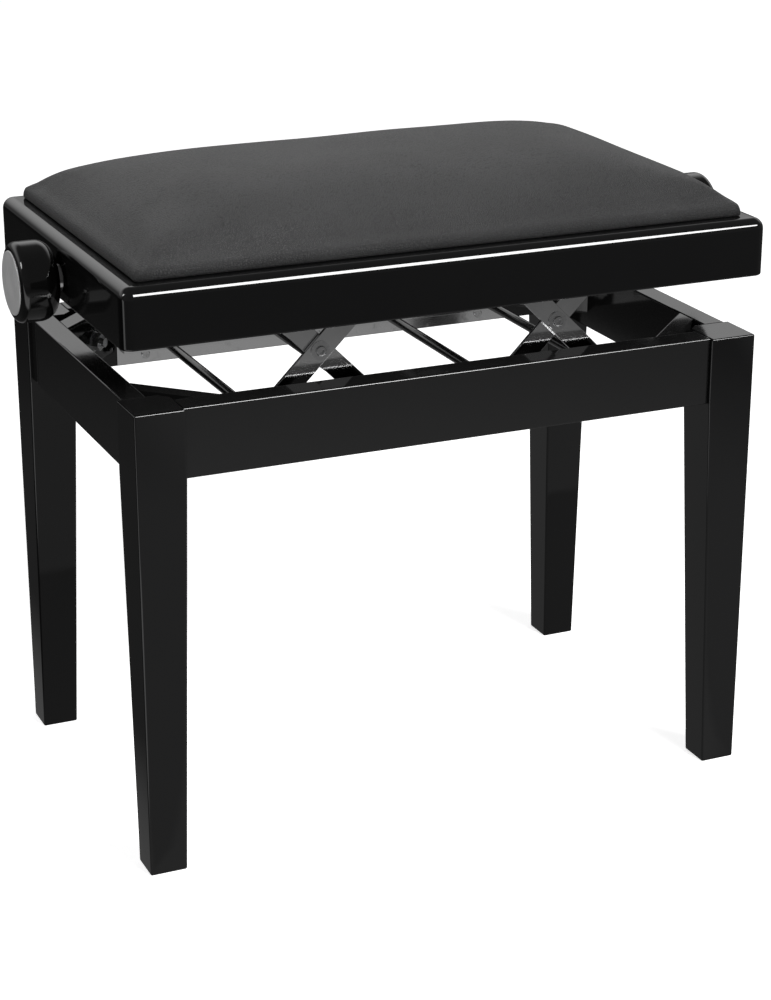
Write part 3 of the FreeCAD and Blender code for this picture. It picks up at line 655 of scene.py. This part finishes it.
def make_spindle(materials):
    """The spindle with its right-hand and left-hand threads, in place of its plain CAD rod."""
    verts, faces = thread(1)
    count = len(verts)
    other, more = thread(-1)
    verts += other
    faces += [tuple(count + k for k in reversed(face)) for face in more]
    piece = make_object("spindle_threaded", verts, faces, materials["zinc_steel"])
    mesh = bmesh.new()
    mesh.from_mesh(piece.data)
    bmesh.ops.remove_doubles(mesh, verts=mesh.verts, dist=WELD)
    bmesh.ops.triangulate(mesh, faces=[f for f in mesh.faces if len(f.verts) > 4])
    bmesh.ops.recalc_face_normals(mesh, faces=mesh.faces)
    mesh.to_mesh(piece.data)
    mesh.free()
    piece.data.set_sharp_from_angle(angle=math.radians(SHARP_DEG))
    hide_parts("spindle")
    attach(piece, "spindle")


# ---- carried-over nodes -------------------------------------------------------------

def dress_nodes(materials):
    """Give every CAD node the material of its slot."""
    slots = {part["node"]: part["material_slot"] for part in frame["record"]["subparts"]}
    for name, node in frame["nodes"].items():
        for held in node.material_slots:
            held.material = materials[slots[name]]


# ---- stage --------------------------------------------------------------------------

WHITE = (1, 1, 1, 1)
FLOOR_HALF = 12.0
FLOOR_PALE = (0.80, 0.80, 0.80, 1)
FLOOR_PALEST = (0.84, 0.84, 0.84, 1)
FLOOR_SEEN_GLOW = 0.74      # added to the lit floor, for the camera only
FLOOR_BOUNCE_GLOW = 0.6     # what the floor sends to rough surfaces
# What polished surfaces mirror: the floor's glow in front, and beside or behind the bench.
FLOOR_FRONT_GLOW = 0.3
FLOOR_LEFT_GLOW = 0.045
FLOOR_BACK_GLOW = 0.19
FLOOR_SIDE_SOFT = 0.04
FLOOR_FRONT_SOFT = 0.01
FLOOR_NEAR_R = 0.9          # the mirrored floor fades from here
FLOOR_FAR_R = 1.7           # to here
FLOOR_FADE = 0.35
# A white card on the floor, front left, seen in mirror images only: it draws the upright edges.
CARD_GLOW = 1.1
CARD_SIDE_SOFT = 0.05
CARD_BACK = (0.03, 0.08)    # its back and front edges, as distances in front of the bench
CARD_FRONT = (0.7, 0.5)
# The white backdrop in mirror images, as ranges of the direction's Y and Z over which it fades in.
BACKDROP_GLOW = 0.95
BACKDROP_BEHIND = (-0.05, 0.35)
BACKDROP_BOTTOM = (0.08, 0.4)
BACKDROP_TOP = (0.766, 0.5)
STUDIO_GLOW = 0.14
LIGHT_AWAY = 2.6
LIGHT_AIM_DROP = 0.06       # below the cushion's top
# Each light: azimuth from straight in front towards the right, elevation, size, radiance.
MAIN_LIGHT = (25.0, 32.0, (1.45, 1.0), 28.0)    # doesn't light the steel, knobs and cushion
LEFT_LIGHT = (-88.0, 30.0, (0.5, 0.7), 12.0)
TOP_LIGHT = (0.0, 85.0, (2.2, 1.8), 5.5)        # lights the cushion only
FRONT_LIGHT = (12.0, 24.0, (1.4, 0.8), 11.0)    # lights the cushion only


def make_floor():
    """A pale floor, which looks darker in mirror images than it does to the camera."""
    verts = [(sx * FLOOR_HALF, sy * FLOOR_HALF, 0.0) for sx, sy in ((-1, -1), (1, -1), (1, 1), (-1, 1))]
    mesh = bpy.data.meshes.new("floor")
    mesh.from_pydata(verts, [], [(0, 1, 2, 3)])
    floor = bpy.data.objects.new("floor", mesh)
    SCENE.collection.objects.link(floor)
    material, g, where = new_material("floor_pale")
    paths = g.add("ShaderNodeLightPath")
    cloudy = g.noise(where, 3.0, 3.0)
    pale = g.blend(cloudy, FLOOR_PALE, FLOOR_PALEST)
    lit = g.add("ShaderNodeBsdfDiffuse", Color=pale)
    glow = g.add("ShaderNodeEmission", Color=WHITE, Strength=FLOOR_SEEN_GLOW)
    seen = g.add("ShaderNodeAddShader", i0=lit.outputs[0], i1=glow.outputs[0])
    at = g.add("ShaderNodeSeparateXYZ", Vector=where)
    out = g.add("ShaderNodeVectorMath", {"operation": "LENGTH"}, i0=where).outputs["Value"]
    low = cad_box[0]
    right = g.spread(at.outputs[0], low.x - FLOOR_SIDE_SOFT, low.x + FLOOR_SIDE_SOFT, FLOOR_LEFT_GLOW,
                     FLOOR_BACK_GLOW)
    front = g.spread(at.outputs[1], low.y + FLOOR_FRONT_SOFT, low.y - FLOOR_FRONT_SOFT)
    split = g.add("ShaderNodeMix", i0=front, i2=right, i3=FLOOR_FRONT_GLOW).outputs[0]
    card_x = g.spread(at.outputs[0], low.x, low.x - CARD_SIDE_SOFT)
    card_y = g.math("MULTIPLY", g.spread(at.outputs[1], low.y - CARD_BACK[0], low.y - CARD_BACK[1]),
                    g.spread(at.outputs[1], low.y - CARD_FRONT[0], low.y - CARD_FRONT[1]))
    card = g.math("MULTIPLY", g.math("MULTIPLY", card_x, card_y), CARD_GLOW)
    faded = g.math("MULTIPLY", split, g.spread(out, FLOOR_FAR_R, FLOOR_NEAR_R, FLOOR_FADE, 1.0))
    dim = g.add("ShaderNodeEmission", Color=WHITE, Strength=g.math("ADD", faded, card))
    fill = g.add("ShaderNodeEmission", Color=WHITE, Strength=FLOOR_BOUNCE_GLOW)
    bounce = g.add("ShaderNodeMixShader", i0=paths.outputs["Is Diffuse Ray"], i1=dim.outputs[0],
                   i2=fill.outputs[0])
    both = g.add("ShaderNodeMixShader", i0=paths.outputs["Is Camera Ray"], i1=bounce.outputs[0],
                 i2=seen.outputs[0])
    finish_material(g, both)
    mesh.materials.append(material)


def make_world():
    """In mirror images white behind, dark above and in front; the camera sees plain white."""
    world = bpy.data.worlds.new("studio")
    SCENE.world = world
    world.use_nodes = True
    g = Graph(world.node_tree)
    towards = g.add("ShaderNodeTexCoord").outputs["Generated"]
    at = g.add("ShaderNodeSeparateXYZ", Vector=towards)
    behind = g.spread(at.outputs[1], *BACKDROP_BEHIND)
    above_horizon = g.spread(at.outputs[2], *BACKDROP_BOTTOM)
    below_top = g.spread(at.outputs[2], *BACKDROP_TOP)
    white = g.math("MULTIPLY", behind, g.math("MULTIPLY", above_horizon, below_top))
    strength = g.math("ADD", g.math("MULTIPLY", white, BACKDROP_GLOW), STUDIO_GLOW)
    studio = g.add("ShaderNodeBackground", Color=WHITE, Strength=strength)
    plain = g.add("ShaderNodeBackground", Color=WHITE, Strength=1.0)
    paths = g.add("ShaderNodeLightPath")
    both = g.add("ShaderNodeMixShader", i0=paths.outputs["Is Camera Ray"], i1=studio.outputs[0],
                 i2=plain.outputs[0])
    g.add("ShaderNodeOutputWorld", Surface=both.outputs[0])


def area_light(name, azimuth, elevation, size, radiance):
    """An oval softbox that faces the seat, given by the radiance of its face."""
    data = bpy.data.lights.new(name, "AREA")
    data.shape = "ELLIPSE"
    data.size, data.size_y = size
    data.energy = radiance * math.pi * size[0] * size[1] * math.pi / 4
    light = bpy.data.objects.new(name, data)
    flat = math.cos(math.radians(elevation))
    towards = Vector((flat * math.sin(math.radians(azimuth)), -flat * math.cos(math.radians(azimuth)),
                      math.sin(math.radians(elevation))))
    seat = (cad_box[0] + cad_box[1]) / 2
    seat.z = cad_box[1].z - LIGHT_AIM_DROP
    light.location = seat + towards * LIGHT_AWAY
    light.rotation_euler = towards.to_track_quat("Z", "Y").to_euler()
    light.visible_camera = False
    SCENE.collection.objects.link(light)
    return light


def link_light(light, objects, state):
    """Keep a light off some objects (EXCLUDE), or let it light only them (INCLUDE)."""
    linked = bpy.data.collections.new(light.name + "_linked")
    light.light_linking.receiver_collection = linked
    for held in objects:
        linked.objects.link(held)
    for member in linked.collection_objects:
        member.light_linking.link_state = state


def make_stage():
    """The floor, the world and four lights, three of which light only a part of the bench."""
    make_floor()
    make_world()
    main_light = area_light("main_light", *MAIN_LIGHT)
    top_light = area_light("top_light", *TOP_LIGHT)
    front_light = area_light("front_light", *FRONT_LIGHT)
    cushion = bpy.data.objects["cushion_cover"]
    shaded = [frame["nodes"][part["node"]] for part in frame["record"]["subparts"]
              if part["material_slot"] in ("plated_steel", "knob_plastic")]
    link_light(main_light, shaded + [cushion], "EXCLUDE")
    link_light(top_light, [cushion], "INCLUDE")
    link_light(front_light, [cushion], "INCLUDE")
    area_light("left_light", *LEFT_LIGHT)
    SCENE.view_settings.view_transform = "Standard"
    SCENE.cycles.use_denoising = True


# ---- build --------------------------------------------------------------------------

make_camera()
all_materials = make_materials()
dress_nodes(all_materials)
make_cushion(all_materials)
make_spindle(all_materials)
make_stage()
